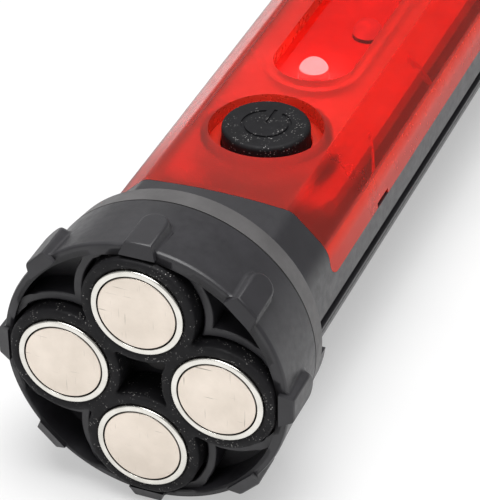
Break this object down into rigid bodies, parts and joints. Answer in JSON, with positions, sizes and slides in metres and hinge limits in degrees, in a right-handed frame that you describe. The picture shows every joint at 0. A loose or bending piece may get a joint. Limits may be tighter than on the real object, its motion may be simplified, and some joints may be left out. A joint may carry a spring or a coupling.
{
  "type": "traffic baton light",
  "caption": "Handheld traffic baton light: magnetic screw cap, faceted body with red translucent shell, recessed lamp window, round power button, torch head, hook.",
  "frame": {"origin": "centre of the magnet faces, on the baton's axis", "axes": "+Y along the baton from the magnets to the torch head, +Z out of the button and window side, +X to the right; the part lies on its back"},
  "size_m": [0.0522, 0.2383, 0.0522],
  "materials": {
    "black_plastic": "fine moulded matt",
    "black_rubber": "matt with light dust",
    "nickel_plate": "bright nickel plating",
    "magnet_face": "satin with faint scratches",
    "collar_plastic": "satin grey",
    "red_lens": "frosted translucent red",
    "white_plastic": "white reflector",
    "switch_stem": "plain",
    "circuit_board": "solder mask",
    "lamp_dome": "diffused dome",
    "emitter": "phosphor",
    "cell_sleeve": "plain printed-free sleeve",
    "spring_steel": "plated steel",
    "clear_window": "clear",
    "mirror_bowl": "vacuum metallised",
    "lead_sleeve": "insulated"
  },
  "bodies": {
    "housing": {"front_housing": "black_plastic", "back_housing": "black_plastic", "head_bezel": "black_plastic", "button_seal": "black_rubber", "cap_seal": "black_rubber", "head_seal": "black_rubber", "bay_terminal_1": "nickel_plate", "bay_terminal_2": "nickel_plate", "threaded_collar": "collar_plastic", "head_collar": "collar_plastic", "lens_shell": "red_lens", "reflector_tray": "white_plastic", "switch_body": "white_plastic", "lamp_board": "circuit_board", "torch_board": "circuit_board", "signal_lamp_1": "lamp_dome", "signal_lamp_2": "lamp_dome", "signal_lamp_3": "lamp_dome", "signal_lamp_4": "lamp_dome", "signal_lamp_5": "lamp_dome", "signal_lamp_6": "lamp_dome", "signal_lamp_7": "lamp_dome", "torch_emitter": "emitter", "battery_cell_1": "cell_sleeve", "battery_cell_2": "cell_sleeve", "battery_cell_3": "cell_sleeve", "battery_cell_4": "cell_sleeve", "bay_spring_1": "spring_steel", "bay_spring_2": "spring_steel", "hook_pin": "spring_steel", "housing_screws": "spring_steel", "head_window": "clear_window", "torch_reflector": "mirror_bowl", "head_lead_1": "lead_sleeve", "head_lead_2": "lead_sleeve"},
    "carrier": {"contact_carrier": "collar_plastic", "bridge_contact": "nickel_plate"},
    "cap": {"magnet_cap": "black_plastic", "magnet_boot": "black_rubber", "magnet_cup_1": "nickel_plate", "magnet_cup_2": "nickel_plate", "magnet_cup_3": "nickel_plate", "magnet_cup_4": "nickel_plate", "magnet_core_1": "magnet_face", "magnet_core_2": "magnet_face", "magnet_core_3": "magnet_face", "magnet_core_4": "magnet_face"},
    "button": {"power_button": "black_rubber", "switch_plunger": "switch_stem"},
    "hook": {"hanging_hook": "black_plastic"}
  },
  "joints": [
    {"name": "carrier_slide", "type": "slide", "parent": "housing", "child": "carrier", "axis": [0, -1, 0], "range_m": [0, 0.00605]},
    {"name": "cap_turn", "type": "hinge", "parent": "carrier", "child": "cap", "pos_m": [0, 0, 0], "axis": [0, -1, 0], "range_deg": [0, 720]},
    {"name": "button_press", "type": "slide", "parent": "housing", "child": "button", "axis": [0, 0, -1], "range_m": [0, 0.0008], "stiffness_N_per_m": 3000},
    {"name": "hook_fold", "type": "hinge", "parent": "housing", "child": "hook", "pos_m": [0, 0.186, -0.0155], "axis": [1, 0, 0], "range_deg": [0, 100]}
  ],
  "couplings": [
    {"joint": "carrier_slide", "follows": "cap_turn", "m_per_rad": 0.00047746}
  ]
}
